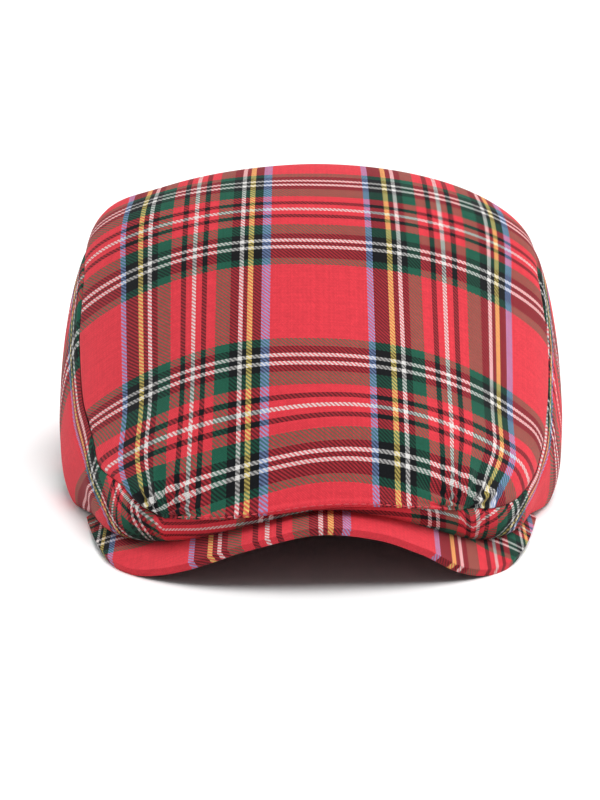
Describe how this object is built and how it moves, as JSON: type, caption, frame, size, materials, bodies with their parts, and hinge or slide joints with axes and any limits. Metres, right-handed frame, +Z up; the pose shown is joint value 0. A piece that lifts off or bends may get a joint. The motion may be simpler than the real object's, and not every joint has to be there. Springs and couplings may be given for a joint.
{
  "type": "flat cap",
  "caption": "Flat cap of tartan wool twill: a one-piece crown that falls forward to a lip over a short arched peak, with side panels down to the hem, open below for the head.",
  "frame": {"origin": "on the table, under the middle of the cap's box", "axes": "+Z up from the table, -Y towards the peak, +X to the viewer's right when the peak faces the viewer"},
  "size_m": [0.2094, 0.2522, 0.1233],
  "materials": {
    "tartan_twill": "soft wool twill, red tartan with dark green, black, blue, yellow and white stripes"
  },
  "bodies": {
    "root": {"top_panel": "tartan_twill", "side_panel_left": "tartan_twill", "side_panel_right": "tartan_twill", "peak": "tartan_twill"}
  },
  "joints": []
}
